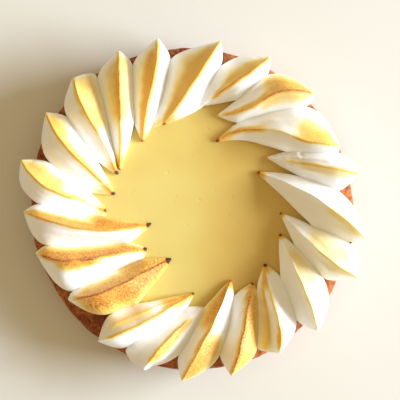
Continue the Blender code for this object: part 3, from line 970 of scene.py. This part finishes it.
def piped(number):
    """A flat grid whose every vertex is moved to its place on the blade, and whose two feet are joined."""
    blade = Blade(number)
    build = bmesh.new()
    build.loops.layers.uv.new("piping")
    toast_layer = build.verts.layers.float.new("toast")
    grain_layer = build.verts.layers.float.new("grainy")
    thin_layer = build.verts.layers.float.new("thin")
    bmesh.ops.create_grid(build, x_segments=ALONG_STEPS, y_segments=ACROSS_STEPS, size=0.5, calc_uvs=True)
    feet = [
        edge for edge in build.edges
        if all(vert.co.y < -FOOT_EDGE for vert in edge.verts)
        or all(vert.co.y > FOOT_EDGE for vert in edge.verts)
    ]
    stations = {}
    for vert in build.verts:
        share = vert.co.x + 0.5
        t = share * (1.0 - END_CROWDING) + END_CROWDING * (1.0 - math.cos(math.pi * share)) / 2.0
        key = round(share, 5)
        if key not in stations:
            stations[key] = Station(blade, held(t, 0.0, 1.0))
        station = stations[key]
        across = -2.0 * vert.co.y
        side = 1 if across > 0.0 else -1
        reach = (station.edges[side] - station.plan).length
        vert.co = station.point(across)
        dark = torched(blade, station, across, reach, vert.co)
        vert[toast_layer] = dark
        toasted_share = held((dark - GRAIN_FROM) / GRAIN_RANGE, 0.0, 1.0)
        vert[grain_layer] = GRAINY.get(number, LEAST_GRAIN) * toasted_share
        vert[thin_layer] = thinness(vert.co)
    bmesh.ops.bridge_loops(build, edges=feet)
    bmesh.ops.remove_doubles(build, verts=build.verts, dist=MERGE_PIPING_WITHIN)
    bmesh.ops.recalc_face_normals(build, faces=build.faces)
    name = f"meringue_{number:02d}"
    return finished(f"piped_{name}", build, meringue, "meringue", name)


blades = [piped(number + 1) for number in range(len(BLADES))]
print(len(blades), "blades,", sum(len(blade.data.polygons) for blade in blades), "faces")

# %% [markdown]
# ## A burnt speck
# One dark crumb of char has fallen on a flank near the right edge. It is barely more than a millimetre, but
# it is there, so it is a small dented ball pressed into the surface. A ray cast down finds the height.

# %% Drop the speck
SPECK_PLAN = (0.0972, -0.0207)
SPECK_SIZE = 0.0008
SPECK_DENTS = 0.25
DENTS_TO_A_METRE = 1400.0
SPECK_FLATNESS = 0.6
RAY_FROM = 0.2

char, shader, start = new_finish("burnt_crumb", Roughness=0.7)
place = start.node("ShaderNodeTexCoord", out="Object")
ash = clouds(place, 0.0005)
send(blended(ash, paint(70, 62, 48), paint(120, 108, 86)), shader, "Base Color")
raised(ash * 0.0002, shader)
graph = bpy.context.evaluated_depsgraph_get()
spot = bpy.context.scene.ray_cast(graph, Vector((*SPECK_PLAN, RAY_FROM)), Vector((0, 0, -1)))[1]
speck = bmesh.new()
bmesh.ops.create_icosphere(speck, subdivisions=3, radius=SPECK_SIZE)
for vert in speck.verts:
    vert.co *= 1.0 + SPECK_DENTS * noise.noise(vert.co * DENTS_TO_A_METRE)
    vert.co.z *= SPECK_FLATNESS
bmesh.ops.translate(speck, verts=speck.verts, vec=spot)
finished("burnt_speck", speck, char, "meringue")
print("the speck lies", round(spot.z * 1000, 1), "mm above the table")

# %% [markdown]
# ## Table, light and camera
# The tart stands on a plain pale table by a large window to its right, low enough for long soft shadows. A
# wide area lamp stands for the window, and a warm even sky fills the shade. The camera looks straight down
# from 70 cm with a long lens, so the sides of the shell stay out of sight.

# %% The table
TABLE_REACH = 3.0

table_finish, shader, start = new_finish("pale_table", Roughness=0.9, Specular_IOR_Level=0.2)
place = start.node("ShaderNodeTexCoord", out="Object")
mottle = clouds(place, 0.07)
send(blended(mottle, paint(221, 218, 206), paint(224, 221, 209)), shader, "Base Color")
table_top = bmesh.new()
bmesh.ops.create_grid(table_top, x_segments=1, y_segments=1, size=TABLE_REACH)
mesh = bpy.data.meshes.new("table")
table_top.to_mesh(mesh)
table_top.free()
mesh.materials.append(table_finish)
table = bpy.data.objects.new("table", mesh)
bpy.context.scene.collection.objects.link(table)
print("the table is", TABLE_REACH * 2, "m wide")

# %% The window and the sky
WINDOW_DISTANCE = 3.2
WINDOW_ELEVATION = 22.0
WINDOW_BEARING = 3.0
WINDOW_TALL = 0.98
WINDOW_WIDE = 1.85
WINDOW_POWER = 266.0
WINDOW_COLOUR = (0.747, 0.846, 1.0)
SKY_COLOUR = (0.528, 0.410, 0.239, 1.0)
SKY_STRENGTH = 1.0

window_data = bpy.data.lights.new("window", "AREA")
window_data.shape = "RECTANGLE"
window_data.size = WINDOW_TALL
window_data.size_y = WINDOW_WIDE
window_data.energy = WINDOW_POWER
window_data.color = WINDOW_COLOUR
window_lamp = bpy.data.objects.new("window", window_data)
bpy.context.scene.collection.objects.link(window_lamp)
rise = math.radians(WINDOW_ELEVATION)
bearing = math.radians(WINDOW_BEARING)
reach_out = WINDOW_DISTANCE * math.cos(rise)
window_lamp.location = (
    reach_out * math.cos(bearing), reach_out * math.sin(bearing), WINDOW_DISTANCE * math.sin(rise)
)
window_lamp.rotation_euler = (0.0, math.pi / 2.0 - rise, bearing)

sky = bpy.data.worlds.new("sky")
sky.use_nodes = True
background = sky.node_tree.nodes["Background"]
background.inputs["Color"].default_value = SKY_COLOUR
background.inputs["Strength"].default_value = SKY_STRENGTH
bpy.context.scene.world = sky
bpy.context.scene.view_settings.view_transform = "Standard"
print("window", WINDOW_POWER, "W at", WINDOW_ELEVATION, "degrees")

# %% The camera
FOCAL_LENGTH_MM = 98.9
SENSOR_WIDTH_MM = 36.0
CAMERA_PLACE = (0.0054, 0.0051, 0.700)

lens = bpy.data.cameras.new("camera")
lens.lens = FOCAL_LENGTH_MM
lens.sensor_width = SENSOR_WIDTH_MM
camera = bpy.data.objects.new("camera", lens)
camera.location = CAMERA_PLACE
bpy.context.scene.collection.objects.link(camera)
bpy.context.scene.camera = camera
print("the camera is", camera.location.z, "m above the table")
